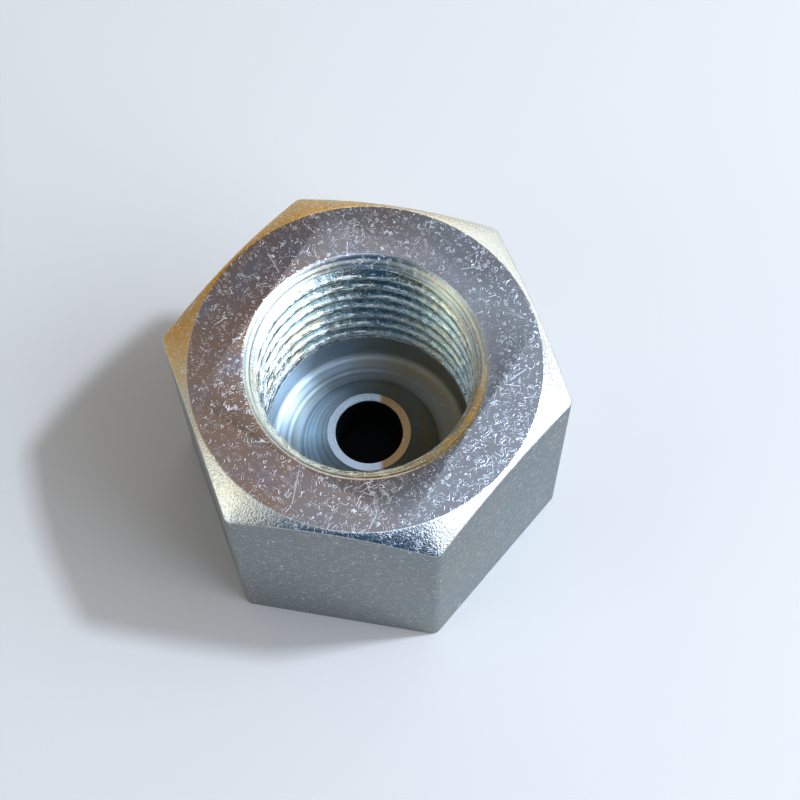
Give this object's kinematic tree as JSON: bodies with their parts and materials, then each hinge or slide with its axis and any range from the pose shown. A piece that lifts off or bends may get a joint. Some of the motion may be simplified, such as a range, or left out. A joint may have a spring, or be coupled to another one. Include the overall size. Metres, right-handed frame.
{
  "type": "threaded adapter fitting",
  "caption": "Hexagonal turned steel adapter with an internally threaded port, a convex cone seat inside it and a flow passage through to a plain outlet in the flat underside.",
  "frame": {"origin": "centre of the flat underside", "axes": "+Z along the bore, out of the threaded port; +X towards one upright corner of the hexagon; +Y square to a pair of flats"},
  "size_m": [0.0276, 0.024, 0.019],
  "materials": {
    "plated_steel": "zinc plated, clear passivated, satin"
  },
  "bodies": {
    "root": {"adapter_body": "plated_steel"}
  },
  "joints": []
}
